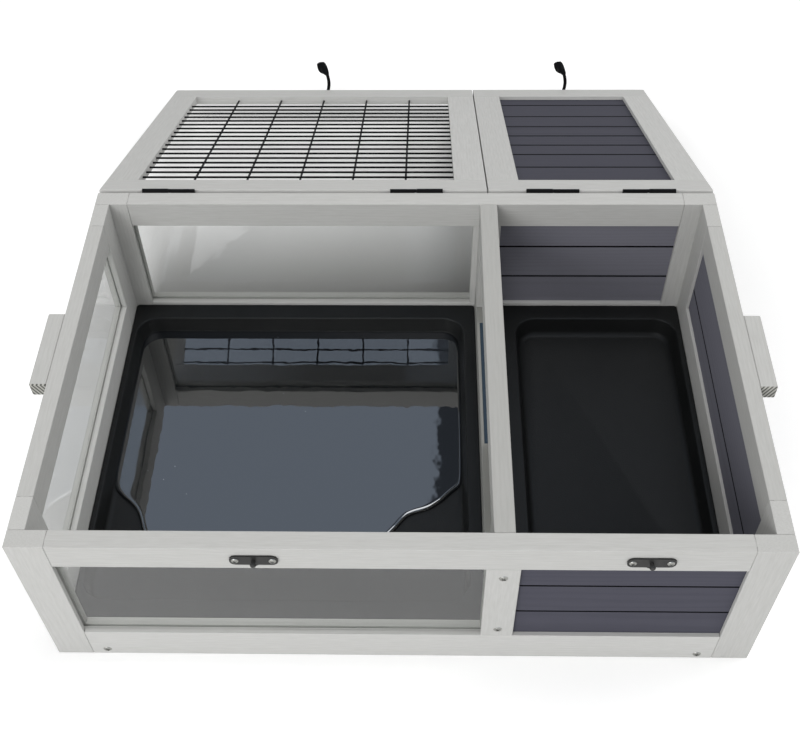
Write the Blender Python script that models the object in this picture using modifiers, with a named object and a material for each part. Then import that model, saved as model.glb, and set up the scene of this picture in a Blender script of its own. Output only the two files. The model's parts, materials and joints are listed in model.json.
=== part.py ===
"""Modular small animal habitat: a two-room wooden box with trays and two hinged lids.

The box is four frame-and-panel walls and a divider with a doorway, standing on three
bearers. The wide room has clear windows and the narrow room has slate boards. Each room
holds a lift-out tray. The left lid carries a welded wire mesh and the right lid carries
boards. Both lids are thrown fully open behind the box, which is the rest pose, and each
carries a swinging hook that catches a stud on the front of the box.

X runs along the front, Y from front to back and Z up, in metres. The origin is the
middle of the front bottom rail's underside, on the floor.
"""

from math import acos, atan2, cos, degrees, pi, sin, sqrt, tan

import bmesh
import bpy
from mathutils import Vector

MM = 0.001

# Box
box_width = 914 * MM
box_depth = 606 * MM
wall_height = 273 * MM
front_thickness = 24 * MM
rear_thickness = 25 * MM
side_thickness = 21 * MM
gap = 0.3 * MM
overrun = 5 * MM
arris = 0.6 * MM
weld_distance = 0.001 * MM

# Wall timbers
wall_stile = 47 * MM
side_stile = 46 * MM
top_rail = 44 * MM
end_bottom_rail = 60 * MM
side_bottom_rail = 100 * MM
mid_stile = 41 * MM
tongue_length = 9.5 * MM
tongue_thickness = 10 * MM
tongue_inset = 0.5 * MM
mid_tenon_width = 20 * MM

# Infill of the wall openings
groove_depth = 8 * MM
pane_thickness = 3 * MM
glazing_lip = 5.5 * MM
glazing_step = 2.5 * MM
board_thickness = 12 * MM
end_board_widths = (48.5 * MM, 64.5 * MM)
side_board_widths = (88 * MM,)
seam_width = 1.8 * MM
seam_depth = 1.5 * MM

# Divider
right_room_width = 300 * MM
divider_thickness = 25 * MM
divider_panel_thickness = 6 * MM
doorway_width = 230 * MM
lintel_height = 24 * MM
doorway_behind_middle = 85 * MM

# Bearers under the trays
bearer_height = 21 * MM
side_bearer_width = 30 * MM
side_bearer_inset = 32 * MM
centre_bearer_width = 130 * MM

# Trays
tray_clearance = 1 * MM
tray_wall = 2.5 * MM
tray_depth = 33.7 * MM
tray_end_rim = 28 * MM
tray_outer_rim = 8 * MM
left_tray_inner_rim = 18 * MM
right_tray_inner_rim = 38 * MM
tray_taper = 6 * MM
tray_corner = 32 * MM
tray_edge_corner = 5 * MM
tray_corner_steps = 6
tray_lip_round = 3 * MM
tray_floor_round = 9 * MM
tray_round_steps = 3

# Grab blocks on the side walls
grab_length = 124 * MM
grab_reach = 23 * MM
grab_height = 22 * MM
grab_below_rim = 1.5 * MM
grab_arris = 1.5 * MM

# Lids
lid_thickness = 15 * MM
lid_stile = 48 * MM
lid_hinge_rail = 48 * MM
lid_front_rail = 52 * MM
lid_split = 2 * MM
lid_tenon = 5 * MM
lid_board_thickness = 6 * MM
lid_board_recess = 7 * MM
lid_board_widths = (85.5 * MM, 67.5 * MM, 53.5 * MM, 55 * MM, 58 * MM, 67 * MM, 79.5 * MM)

# Wire mesh in the left lid
wire_diameter = 3 * MM
wire_sides = 8
wire_pitch = 25 * MM
wire_to_front_rail = 49.5 * MM
cross_wire_pitch = 82 * MM
cross_wire_count = 6
first_cross_wire = -0.5 * MM
weld_sink = 0.5 * MM

# Hinges: a leaf on the box with the barrel, a leaf on the lid with the pin
hinge_axis_behind = 4 * MM
hinge_length = 78 * MM
hinge_leaf = 1.2 * MM
hinge_leaf_drop = 24 * MM
hinge_leaf_rise = 13 * MM
barrel_diameter = 6.4 * MM
barrel_bore = 3.8 * MM
hinge_pin = 3 * MM
eye_diameter = 5.4 * MM
hinge_running_gap = 0.4 * MM
left_hinge_inset = 105 * MM
right_hinge_inset = 95 * MM
round_sides = 20

# Hook latches
left_catch_offset = -1.2 * MM
right_catch_offset = 2.2 * MM
catch_width = 57 * MM
catch_height = 18 * MM
plate_round_share = 0.42
catch_below_rim = 23 * MM
catch_belly = 13 * MM
catch_belly_drop = 5 * MM
plate_thickness = 2 * MM
stud_neck = 5.2 * MM
stud_neck_length = 5.4 * MM
stud_head = 8 * MM
stud_head_crown = 6 * MM
stud_head_length = 2.2 * MM
hook_offset = 7.5 * MM
hook_plate_width = 40 * MM
hook_plate_height = 12 * MM
rivet_diameter = 4.6 * MM
rivet_head = 8 * MM
rivet_head_length = 1.6 * MM
arm_width = 6.4 * MM
arm_diameter = 4.2 * MM
arm_eye = 11 * MM
arm_eye_bore = 5.4 * MM
arm_bow = 3.5 * MM
arm_lean = 7 * MM
arm_length = 49 * MM
arm_out = 8.3 * MM
arm_steps = 18
bow_end_share = 0.8
lean_start_share = 0.7
out_start_share = 0.78
grip_edge = 1.3 * MM
grip_outline = (
    (3.5, -10.2), (6.9, -6.8), (9.8, -1.4), (12.1, 4.8), (13.4, 9.2), (13.6, 13.2), (10.4, 15.6), (6.6, 13.9),
    (2.9, 11.3), (-2.6, 9.5), (-6.0, 6.8), (-8.6, 2.0), (-10.1, -5.6), (-7.4, -8.2), (-3.9, -9.8),
)

# Frames of reference worked out from the sizes
front_face = -front_thickness / 2
front_inner = front_face + front_thickness
rear_face = front_face + box_depth
rear_inner = rear_face - rear_thickness
side_face = box_width / 2
side_inner = side_face - side_thickness
divider_x = side_inner - right_room_width - divider_thickness / 2
box_middle = (front_face + rear_face) / 2
hinge_y = rear_face + hinge_axis_behind
hinge_z = wall_height + gap
plate_gap = gap + plate_thickness

# The open lid stops where its lower rear corner meets the hinge leaves on the box.
stop_clearance = gap + hinge_leaf + gap
lid_droop = (acos((stop_clearance - hinge_axis_behind) / sqrt(hinge_axis_behind**2 + lid_thickness**2))
             - atan2(lid_thickness, hinge_axis_behind))
lid_swing = pi + lid_droop


def make_material(name, colour, roughness, metallic=0.0, transmission=0.0):
    """A Principled BSDF material."""
    made = bpy.data.materials.new(name)
    made.use_nodes = True
    shader = made.node_tree.nodes["Principled BSDF"]
    shader.inputs["Base Color"].default_value = (*colour, 1.0)
    shader.inputs["Roughness"].default_value = roughness
    shader.inputs["Metallic"].default_value = metallic
    shader.inputs["Transmission Weight"].default_value = transmission
    return made


for old in list(bpy.data.objects):
    bpy.data.objects.remove(old, do_unlink=True)

parts = bpy.data.collections.new("small_animal_habitat")
guides = bpy.data.collections.new("cutters")
bpy.context.scene.collection.children.link(parts)
bpy.context.scene.collection.children.link(guides)

whitewash = make_material("whitewashed_wood", (0.62, 0.62, 0.60), 0.6)
slate = make_material("slate_boards", (0.087, 0.087, 0.110), 0.55)
acrylic = make_material("clear_acrylic", (0.90, 0.92, 0.92), 0.08, transmission=0.9)
tray_plastic = make_material("black_tray_plastic", (0.016, 0.016, 0.017), 0.5)
black_wire = make_material("black_wire", (0.012, 0.012, 0.013), 0.4, metallic=0.6)
black_hardware = make_material("black_hardware", (0.015, 0.015, 0.016), 0.35, metallic=0.7)


def place(name, mesh, location, material, parent=None, collection=parts):
    """An object for a mesh, at a place, on an optional parent axis."""
    made = bpy.data.objects.new(name, mesh)
    made.location = location
    made.parent = parent
    if material:
        mesh.materials.append(material)
    collection.objects.link(made)
    return made


def as_guide(made):
    """Marks an object as a cutter or a joining block, which isn't a part."""
    made.hide_render = True
    made.display_type = "WIRE"
    return made


def box_mesh(name, size):
    """A box mesh about its own centre."""
    mesh = bpy.data.meshes.new(name)
    work = bmesh.new()
    bmesh.ops.create_cube(work, size=1.0)
    bmesh.ops.scale(work, vec=size, verts=work.verts)
    work.to_mesh(mesh)
    work.free()
    return mesh


def cylinder_mesh(name, radius, length, axis, sides=round_sides, end_radius=None):
    """A cylinder or cone about its own centre, along an axis; end_radius is at +axis."""
    mesh = bpy.data.meshes.new(name)
    work = bmesh.new()
    top = radius if end_radius is None else end_radius
    bmesh.ops.create_cone(work, cap_ends=True, segments=sides, radius1=radius, radius2=top, depth=length)
    turn = Vector((0, 0, 1)).rotation_difference(Vector(axis)).to_matrix()
    bmesh.ops.rotate(work, matrix=turn, verts=work.verts)
    work.to_mesh(mesh)
    work.free()
    mesh.shade_smooth()
    mesh.set_sharp_from_angle(angle=0.6)
    return mesh


def box_object(name, spans, material, parent=None, collection=parts):
    """A box between its X, Y and Z spans, each a (low, high) pair in the closed layout."""
    low = Vector([min(span) for span in spans])
    high = Vector([max(span) for span in spans])
    at = (low + high) / 2 - (parent.location if parent else Vector())
    return place(name, box_mesh(name, high - low), at, material, parent, collection)


def timber(name, spans, material=whitewash, parent=None, edge=arris):
    """A length of timber with its edges eased."""
    made = box_object(name, spans, material, parent)
    ease = made.modifiers.new("ease", "BEVEL")
    ease.width = edge
    ease.segments = 1
    ease.limit_method = "NONE"
    return made


def boolean(target, other, operation):
    """A Boolean modifier that cuts or joins another object."""
    step = target.modifiers.new(operation.lower(), "BOOLEAN")
    step.operation = operation
    step.object = other
    step.solver = "EXACT"


def guide_box(name, spans, parent=None):
    return as_guide(box_object(name, spans, None, parent, guides))


def cut(target, spans, parent=None):
    boolean(target, guide_box(target.name + "_cut", spans, parent), "DIFFERENCE")


def grown(span, by):
    return (span[0] - by, span[1] + by)


def centred(middle, width):
    return (middle - width / 2, middle + width / 2)


def spans_in(plane, run, rise, depth):
    """X, Y and Z spans of a block given along a frame's run, rise and depth."""
    if plane == "end":
        return (run, depth, rise)
    if plane == "side":
        return (depth, run, rise)
    return (run, rise, depth)


def joint(tenon_member, slot_member, plane, run, rise, depth, root, parent=None):
    """A tongue on one member and the slot that it seats in on the other.

    root is 0 or 1: the end of the run, or for a rise joint the negative of it minus one,
    where the tongue grows out of its member.
    """
    tongue_run, tongue_rise = list(run), list(rise)
    grow = tongue_run if root in (0, 1) else tongue_rise
    end = root if root in (0, 1) else -root - 1
    grow[end] += overrun if end == 1 else -overrun
    block = guide_box(tenon_member.name + "_tongue", spans_in(plane, tongue_run, tongue_rise, depth), parent)
    boolean(tenon_member, block, "UNION")
    slot_run, slot_rise = list(grown(run, gap)), list(grown(rise, gap))
    slot = slot_run if root in (0, 1) else slot_rise
    slot[end] += overrun if end == 1 else -overrun
    cut(slot_member, spans_in(plane, slot_run, slot_rise, grown(depth, gap)), parent)


def infill_groove(members, plane, run, rise, depth_middle, thickness, parent=None):
    """One groove round an opening, cut in the members that frame it."""
    ring_cut(members, plane, run, rise, centred(depth_middle, thickness + 2 * gap), groove_depth, parent)


def ring_cut(members, plane, run, rise, depth, reach, parent=None):
    """A cut round an opening, as deep as its reach, in the members that frame it."""
    spans = spans_in(plane, grown(run, reach), grown(rise, reach), depth)
    cutter = guide_box(members[0].name + "_groove", spans, parent)
    for member in members:
        boolean(member, cutter, "DIFFERENCE")


def pane(name, plane, run, rise, depth_middle):
    """A clear sheet held in its groove."""
    reach = groove_depth - gap
    depth = centred(depth_middle, pane_thickness)
    return box_object(name, spans_in(plane, grown(run, reach), grown(rise, reach), depth), acrylic)


def boards(name, plane, run, rise, depth_middle, thickness, widths, parent=None):
    """A panel of horizontal boards: seams on both faces, under each width from the top down."""
    reach = groove_depth - gap
    depth = centred(depth_middle, thickness)
    panel = box_object(name, spans_in(plane, grown(run, reach), grown(rise, reach), depth), slate, parent)
    seam = rise[1]
    for width in widths:
        seam -= width
        for side in (0, 1):
            near = (depth[side] - seam_depth, depth[side] + seam_depth)
            cut(panel, spans_in(plane, grown(run, reach + overrun), centred(seam, seam_width), near), parent)
    return panel


def end_wall(side, depth):
    """The front or rear wall: frame, window of the wide room and boards of the narrow one."""
    low_rise = (0.0, end_bottom_rail)
    high_rise = (wall_height - top_rail, wall_height)
    opening = (low_rise[1], high_rise[0])
    left_run = (-side_face, -side_face + wall_stile)
    right_run = (side_face - wall_stile, side_face)
    middle_run = centred(divider_x, mid_stile)
    between = (left_run[1] + gap, right_run[0] - gap)
    left = timber(side + "_left_stile", spans_in("end", left_run, (0.0, wall_height), depth))
    right = timber(side + "_right_stile", spans_in("end", right_run, (0.0, wall_height), depth))
    low = timber(side + "_bottom_rail", spans_in("end", between, low_rise, depth))
    high = timber(side + "_top_rail", spans_in("end", between, high_rise, depth))
    middle = timber(side + "_middle_stile", spans_in("end", middle_run, grown(opening, -gap), depth))
    core = (depth[0] + depth[1]) / 2
    tongue_depth = centred(core, tongue_thickness)
    for rail, rise in ((low, low_rise), (high, high_rise)):
        tongue_rise = grown(rise, -tongue_inset)
        left_tongue = (between[0] - tongue_length, between[0])
        right_tongue = (between[1], between[1] + tongue_length)
        joint(rail, left, "end", left_tongue, tongue_rise, tongue_depth, 1)
        joint(rail, right, "end", right_tongue, tongue_rise, tongue_depth, 0)
    tenon_run = centred(divider_x, mid_tenon_width)
    low_tenon = (opening[0] + gap - tongue_length, opening[0] + gap)
    high_tenon = (opening[1] - gap, opening[1] - gap + tongue_length)
    joint(middle, low, "end", tenon_run, low_tenon, tongue_depth, -2)
    joint(middle, high, "end", tenon_run, high_tenon, tongue_depth, -1)
    window_run = (left_run[1], middle_run[0])
    board_run = (middle_run[1], right_run[0])
    infill_groove((left, middle, low, high), "end", window_run, opening, core, pane_thickness)
    ring_cut((left, middle, low, high), "end", window_run, opening, (depth[0] + glazing_lip, core), glazing_step)
    infill_groove((middle, right, low, high), "end", board_run, opening, core, board_thickness)
    pane(side + "_window", "end", window_run, opening, core)
    boards(side + "_boards", "end", board_run, opening, core, board_thickness, end_board_widths)


def side_wall(side, depth, has_window):
    """A side wall between the front and rear walls."""
    low_rise = (0.0, side_bottom_rail)
    high_rise = (wall_height - top_rail, wall_height)
    opening = (low_rise[1], high_rise[0])
    front_run = (front_inner + gap, front_inner + side_stile)
    rear_run = (rear_inner - side_stile, rear_inner - gap)
    between = (front_run[1] + gap, rear_run[0] - gap)
    front = timber(side + "_front_stile", spans_in("side", front_run, (0.0, wall_height), depth))
    rear = timber(side + "_rear_stile", spans_in("side", rear_run, (0.0, wall_height), depth))
    low = timber(side + "_bottom_rail", spans_in("side", between, low_rise, depth))
    high = timber(side + "_top_rail", spans_in("side", between, high_rise, depth))
    core = (depth[0] + depth[1]) / 2
    tongue_depth = centred(core, tongue_thickness)
    for rail, rise in ((low, low_rise), (high, high_rise)):
        tongue_rise = grown(rise, -tongue_inset)
        front_tongue = (between[0] - tongue_length, between[0])
        rear_tongue = (between[1], between[1] + tongue_length)
        joint(rail, front, "side", front_tongue, tongue_rise, tongue_depth, 1)
        joint(rail, rear, "side", rear_tongue, tongue_rise, tongue_depth, 0)
    run = (front_run[1], rear_run[0])
    if has_window:
        infill_groove((front, rear, low, high), "side", run, opening, core, pane_thickness)
        ring_cut((front, rear, low, high), "side", run, opening, (core, depth[1] - glazing_lip), glazing_step)
        pane(side + "_window", "side", run, opening, core)
    else:
        infill_groove((front, rear, low, high), "side", run, opening, core, board_thickness)
        boards(side + "_boards", "side", run, opening, core, board_thickness, side_board_widths)


def divider():
    """The wall between the rooms, with a doorway through its panel."""
    depth = centred(divider_x, divider_thickness)
    run = (front_inner + gap, rear_inner - gap)
    low_rise = (bearer_height + gap, side_bottom_rail)
    high_rise = (wall_height - top_rail, wall_height)
    opening = (low_rise[1], high_rise[0])
    low = timber("divider_bottom_rail", spans_in("side", run, low_rise, depth))
    high = timber("divider_top_rail", spans_in("side", run, high_rise, depth))
    front_run = (run[0], run[0] + side_stile)
    rear_run = (run[1] - side_stile, run[1])
    post_rise = grown(opening, -gap)
    front = timber("divider_front_stile", spans_in("side", front_run, post_rise, depth))
    rear = timber("divider_rear_stile", spans_in("side", rear_run, post_rise, depth))
    tongue_depth = centred(divider_x, tongue_thickness)
    for post, post_run in ((front, front_run), (rear, rear_run)):
        tenon_run = centred(sum(post_run) / 2, mid_tenon_width)
        low_tenon = (post_rise[0] - tongue_length, post_rise[0])
        high_tenon = (post_rise[1], post_rise[1] + tongue_length)
        joint(post, low, "side", tenon_run, low_tenon, tongue_depth, -2)
        joint(post, high, "side", tenon_run, high_tenon, tongue_depth, -1)
    panel_run = (front_run[1], rear_run[0])
    infill_groove((front, rear, low, high), "side", panel_run, opening, divider_x, divider_panel_thickness)
    reach = groove_depth - gap
    panel_depth = centred(divider_x, divider_panel_thickness)
    panel_spans = spans_in("side", grown(panel_run, reach), grown(opening, reach), panel_depth)
    panel = box_object("divider_panel", panel_spans, whitewash)
    doorway_run = centred(box_middle + doorway_behind_middle, doorway_width)
    doorway_rise = (opening[0] - groove_depth - overrun, opening[1] - lintel_height)
    cut(panel, spans_in("side", doorway_run, doorway_rise, grown(panel_depth, overrun)))


def bearers():
    """Three bearers from front to back, which carry the trays and the divider."""
    run = (front_inner + gap, rear_inner - gap)
    rise = (0.0, bearer_height)
    outer = side_inner - side_bearer_inset
    inner = outer - side_bearer_width
    timber("left_bearer", ((-outer, -inner), run, rise))
    timber("centre_bearer", (centred(divider_x, centre_bearer_width), run, rise))
    timber("right_bearer", ((inner, outer), run, rise))


def grab_blocks():
    """The block under each side's rim that the box is lifted by."""
    top = wall_height - grab_below_rim
    for name, side in (("left_grab_block", -1), ("right_grab_block", 1)):
        reach = (side * (side_face + gap), side * (side_face + gap + grab_reach))
        spans = (reach, centred(box_middle, grab_length), (top - grab_height, top))
        timber(name, spans, edge=grab_arris)


def tray_wall_profile():
    """Inset and drop down the tray's wall: round lip, tapered wall, round into the floor."""
    depth = tray_depth - tray_wall
    sweep = pi / 2 - atan2(tray_taper, depth)
    points = []
    for step in range(tray_round_steps + 1):
        angle = sweep * step / tray_round_steps
        inset = tray_lip_round * (sin(angle) - tan(sweep / 2))
        points.append((inset, tray_lip_round * (1 - cos(angle))))
    for step in range(tray_round_steps + 1):
        angle = sweep * (1 - step / tray_round_steps)
        inset = tray_taper + tray_floor_round * (tan(sweep / 2) - sin(angle))
        points.append((inset, depth - tray_floor_round * (1 - cos(angle))))
    return points


def rounded_ring(work, low, high, height, radius):
    """A closed ring of vertices round a rectangle with round corners."""
    ring = []
    corners = ((high.x, high.y, 0), (low.x, high.y, 1), (low.x, low.y, 2), (high.x, low.y, 3))
    for x, y, quarter in corners:
        centre_x = x - radius if x == high.x else x + radius
        centre_y = y - radius if y == high.y else y + radius
        for step in range(tray_corner_steps + 1):
            angle = (quarter + step / tray_corner_steps) * pi / 2
            at = (centre_x + radius * cos(angle), centre_y + radius * sin(angle), height)
            ring.append(work.verts.new(at))
    return ring


def tray(name, run, left_rim, right_rim):
    """A vacuum-formed tray: flat rim, tapered walls and a flat floor, as one shell."""
    front, rear = front_inner + tray_clearance, rear_inner - tray_clearance
    origin = Vector((sum(run) / 2, (front + rear) / 2, bearer_height + gap + tray_depth))
    low = Vector((run[0], front)) - origin.xy
    high = Vector((run[1], rear)) - origin.xy
    mouth_low = low + Vector((left_rim, tray_end_rim))
    mouth_high = high - Vector((right_rim, tray_end_rim))
    work = bmesh.new()
    rings = [rounded_ring(work, low, high, 0.0, tray_edge_corner)]
    for inset, drop in tray_wall_profile():
        step_in = Vector((inset, inset))
        radius = tray_corner - inset
        rings.append(rounded_ring(work, mouth_low + step_in, mouth_high - step_in, -drop, radius))
    for upper, lower in zip(rings, rings[1:]):
        for index in range(len(upper)):
            after = (index + 1) % len(upper)
            work.faces.new((upper[index], lower[index], lower[after], upper[after]))
    work.faces.new(rings[-1])
    bmesh.ops.recalc_face_normals(work, faces=work.faces)
    if work.faces[0].normal.z < 0:
        bmesh.ops.reverse_faces(work, faces=work.faces)
    mesh = bpy.data.meshes.new(name)
    work.to_mesh(mesh)
    work.free()
    made = place(name, mesh, origin, tray_plastic)
    shell = made.modifiers.new("shell", "SOLIDIFY")
    shell.thickness = tray_wall
    shell.offset = -1.0
    shell.use_even_offset = True
    return made


def trays():
    divider_span = centred(divider_x, divider_thickness)
    left_run = (-side_inner + tray_clearance, divider_span[0] - tray_clearance)
    right_run = (divider_span[1] + tray_clearance, side_inner - tray_clearance)
    tray("left_tray", left_run, tray_outer_rim, left_tray_inner_rim)
    tray("right_tray", right_run, right_tray_inner_rim, tray_outer_rim)


def axis_empty(name, location, parent=None):
    """An empty on a joint's axis."""
    made = bpy.data.objects.new(name, None)
    made.location = location
    made.parent = parent
    parts.objects.link(made)
    return made


def lid_frame(side, run, axis, is_mesh):
    """A lid: rails at full width, stiles tenoned between them, and its mesh or its boards."""
    thick = (hinge_z, hinge_z + lid_thickness)
    hinge_rise = (rear_face - lid_hinge_rail, rear_face)
    front_rise = (front_face, front_face + lid_front_rail)
    stile_rise = (front_rise[1] + gap, hinge_rise[0] - gap)
    left_run = (run[0], run[0] + lid_stile)
    right_run = (run[1] - lid_stile, run[1])
    opening_run = (left_run[1], right_run[0])
    opening_rise = (front_rise[1], hinge_rise[0])
    prefix = side + "_lid_"
    hinge_rail = timber(prefix + "hinge_rail", spans_in("lid", run, hinge_rise, thick), parent=axis)
    front_rail = timber(prefix + "front_rail", spans_in("lid", run, front_rise, thick), parent=axis)
    core = sum(thick) / 2
    tenon_depth = centred(core, lid_tenon)
    stiles = []
    for name, stile_run in (("left_stile", left_run), ("right_stile", right_run)):
        stile = timber(prefix + name, spans_in("lid", stile_run, stile_rise, thick), parent=axis)
        tenon_run = centred(sum(stile_run) / 2, mid_tenon_width)
        front_tenon = (stile_rise[0] - tongue_length, stile_rise[0])
        rear_tenon = (stile_rise[1], stile_rise[1] + tongue_length)
        joint(stile, front_rail, "lid", tenon_run, front_tenon, tenon_depth, -2, axis)
        joint(stile, hinge_rail, "lid", tenon_run, rear_tenon, tenon_depth, -1, axis)
        stiles.append(stile)
    members = (*stiles, hinge_rail, front_rail)
    if is_mesh:
        infill_groove(members, "lid", opening_run, opening_rise, core, 2 * wire_diameter - weld_sink, axis)
        wire_mesh(opening_run, opening_rise, core - hinge_z, axis)
    else:
        level = hinge_z + lid_board_recess + lid_board_thickness / 2
        infill_groove(members, "lid", opening_run, opening_rise, level, lid_board_thickness, axis)
        boards(prefix + "boards", "lid", opening_run, opening_rise, level, lid_board_thickness,
               lid_board_widths, axis)


def wires_mesh(name, direction, places, length, height):
    """Parallel wires as one mesh about the axis that carries it."""
    mesh = bpy.data.meshes.new(name)
    work = bmesh.new()
    for x, y in places:
        made = bmesh.ops.create_cone(work, cap_ends=True, segments=wire_sides,
                                     radius1=wire_diameter / 2, radius2=wire_diameter / 2, depth=length)
        turn = Vector((0, 0, 1)).rotation_difference(Vector(direction)).to_matrix()
        bmesh.ops.rotate(work, matrix=turn, verts=made["verts"])
        bmesh.ops.translate(work, vec=(x, y, height), verts=made["verts"])
    work.to_mesh(mesh)
    work.free()
    return mesh


def wire_mesh(run, rise, level, axis):
    """The welded wire mesh, whose edges are held in the lid's groove."""
    middle_x = sum(run) / 2
    middle_y = sum(rise) / 2
    at = axis.location
    reach = groove_depth - gap
    under = level - (wire_diameter - weld_sink) / 2
    over = level + (wire_diameter - weld_sink) / 2
    wire_count = 1 + int((rise[1] - rise[0] - wire_to_front_rail) / wire_pitch)
    rows = [(middle_x - at.x, rise[0] + wire_to_front_rail + wire_pitch * count - at.y)
            for count in range(wire_count)]
    long_wires = wires_mesh("wire_mesh", (1, 0, 0), rows, run[1] - run[0] + 2 * reach, under)
    grille = place("left_lid_wire_mesh", long_wires, (0, 0, 0), black_wire, axis)
    columns = [(run[0] + first_cross_wire + count * cross_wire_pitch - at.x, middle_y - at.y)
               for count in range(cross_wire_count)]
    cross = wires_mesh("cross_wires", (0, 1, 0), columns, rise[1] - rise[0] + 2 * reach, over)
    cross_guide = as_guide(place("cross_wires", cross, (0, 0, 0), None, axis, guides))
    boolean(grille, cross_guide, "UNION")


def hinge(name, x, barrel_side, axis):
    """One hinge: the box leaf with the barrel on one half, the lid leaf with the pin on the other."""
    half = (hinge_length - hinge_running_gap) / 2
    outer = x + barrel_side * hinge_length / 2
    barrel_run = sorted((outer, outer - barrel_side * half))
    eye_run = sorted((outer - barrel_side * hinge_length, outer - barrel_side * (hinge_length - half)))
    leaf_y = (rear_face + gap, rear_face + gap + hinge_leaf)
    box_leaf = box_object(name + "_box_leaf", (barrel_run, leaf_y, (hinge_z - hinge_leaf_drop, hinge_z)),
                          black_hardware)
    centre = Vector((sum(barrel_run) / 2, hinge_y, hinge_z))
    barrel = place(name + "_barrel", cylinder_mesh("barrel", barrel_diameter / 2, half, (1, 0, 0)),
                   centre, None, None, guides)
    boolean(box_leaf, as_guide(barrel), "UNION")
    bore = place(name + "_bore", cylinder_mesh("bore", barrel_bore / 2, half + 2 * overrun, (1, 0, 0)),
                 centre, None, None, guides)
    boolean(box_leaf, as_guide(bore), "DIFFERENCE")

    lid_leaf = box_object(name + "_lid_leaf", (eye_run, leaf_y, (hinge_z, hinge_z + hinge_leaf_rise)),
                          black_hardware, axis)
    eye_at = Vector((sum(eye_run) / 2, 0, 0))
    eye = place(name + "_eye", cylinder_mesh("eye", eye_diameter / 2, half, (1, 0, 0)),
                eye_at, None, axis, guides)
    boolean(lid_leaf, as_guide(eye), "UNION")
    pin_length = hinge_length - hinge_running_gap
    pin_at = Vector((x - barrel_side * hinge_running_gap / 2, 0, 0))
    pin = place(name + "_pin", cylinder_mesh("pin", hinge_pin / 2, pin_length, (1, 0, 0)),
                pin_at, None, axis, guides)
    boolean(lid_leaf, as_guide(pin), "UNION")


def rounded_plate(name, size, radius, location, parent=None, collection=parts):
    """An upright plate with round ends, facing along Y."""
    made = place(name, box_mesh(name, size), location, black_hardware if collection is parts else None,
                 parent, collection)
    work = bmesh.new()
    work.from_mesh(made.data)
    upright = [edge for edge in work.edges
               if abs(edge.verts[0].co.y - edge.verts[1].co.y) > size[1] / 2]
    bmesh.ops.bevel(work, geom=upright, offset=radius, segments=4, profile=0.5, affect="EDGES")
    work.to_mesh(made.data)
    work.free()
    return made


def catch(name, x):
    """The catch plate on the front top rail, with its belly and headed stud."""
    z = wall_height - catch_below_rim
    outer = front_face - plate_gap
    middle = Vector((x, front_face - gap - plate_thickness / 2, z))
    size = (catch_width, plate_thickness, catch_height)
    plate = rounded_plate(name, size, catch_height * plate_round_share, middle)
    belly_at = middle - Vector((0, 0, catch_belly_drop))
    belly = place(name + "_belly", cylinder_mesh("belly", catch_belly / 2, plate_thickness, (0, 1, 0)),
                  belly_at, None, None, guides)
    boolean(plate, as_guide(belly), "UNION")
    neck_at = Vector((x, outer - stud_neck_length / 2 + plate_thickness / 2, z))
    neck = place(name + "_neck", cylinder_mesh("neck", stud_neck / 2, stud_neck_length + plate_thickness,
                                               (0, 1, 0)), neck_at, None, None, guides)
    boolean(plate, as_guide(neck), "UNION")
    head_at = Vector((x, outer - stud_neck_length - stud_head_length / 2, z))
    head = place(name + "_head", cylinder_mesh("head", stud_head_crown / 2, stud_head_length, (0, 1, 0),
                                               end_radius=stud_head / 2), head_at, None, None, guides)
    boolean(plate, as_guide(head), "UNION")


def hook_plate(name, x, axis):
    """The plate on the lid's front edge, with the rivet that the hook turns on."""
    middle = Vector((x, front_face - gap - plate_thickness / 2, hinge_z + lid_thickness / 2)) - axis.location
    plate = rounded_plate(name, (hook_plate_width, plate_thickness, hook_plate_height),
                          hook_plate_height * plate_round_share, middle, axis)
    outer = middle.y - plate_thickness / 2
    arm_room = arm_diameter + 2 * gap
    shank_at = Vector((middle.x, outer - arm_room / 2, middle.z))
    shank = place(name + "_rivet", cylinder_mesh("rivet", rivet_diameter / 2, arm_room + plate_thickness,
                                                 (0, 1, 0)), shank_at, None, axis, guides)
    boolean(plate, as_guide(shank), "UNION")
    head_at = Vector((middle.x, outer - arm_room - rivet_head_length / 2, middle.z))
    head = place(name + "_rivet_head", cylinder_mesh("rivet_head", rivet_head / 2, rivet_head_length,
                                                     (0, 1, 0)), head_at, None, axis, guides)
    boolean(plate, as_guide(head), "UNION")


def share_after(start, share):
    """How far a share is past its start, from 0 at the start to 1 at the end."""
    return max(share - start, 0.0) / (1.0 - start)


def arm_mesh(name):
    """The hook's bar as a closed mesh: down from the eye, bowed to +X, then out to the grip."""
    curve = bpy.data.curves.new(name, "CURVE")
    curve.dimensions = "3D"
    curve.bevel_depth = arm_diameter / 2
    curve.bevel_resolution = 2
    curve.use_fill_caps = True
    line = curve.splines.new("POLY")
    line.points.add(arm_steps - 1)
    for step, point in enumerate(line.points):
        share = step / (arm_steps - 1)
        bow = arm_bow * sin(pi * share / bow_end_share)
        lean = arm_lean * share_after(lean_start_share, share)
        out = arm_out * share_after(out_start_share, share)
        point.co = ((bow - lean) * arm_diameter / arm_width, -out, -arm_length * share, 1.0)
    holder = bpy.data.objects.new(name, curve)
    guides.objects.link(holder)
    bpy.context.view_layer.update()
    mesh = bpy.data.meshes.new_from_object(holder.evaluated_get(bpy.context.evaluated_depsgraph_get()))
    bpy.data.objects.remove(holder, do_unlink=True)
    work = bmesh.new()
    work.from_mesh(mesh)
    bmesh.ops.scale(work, vec=(arm_width / arm_diameter, 1.0, 1.0), verts=work.verts)
    bmesh.ops.remove_doubles(work, verts=work.verts, dist=weld_distance)
    bmesh.ops.recalc_face_normals(work, faces=work.faces)
    work.to_mesh(mesh)
    work.free()
    return mesh


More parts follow.
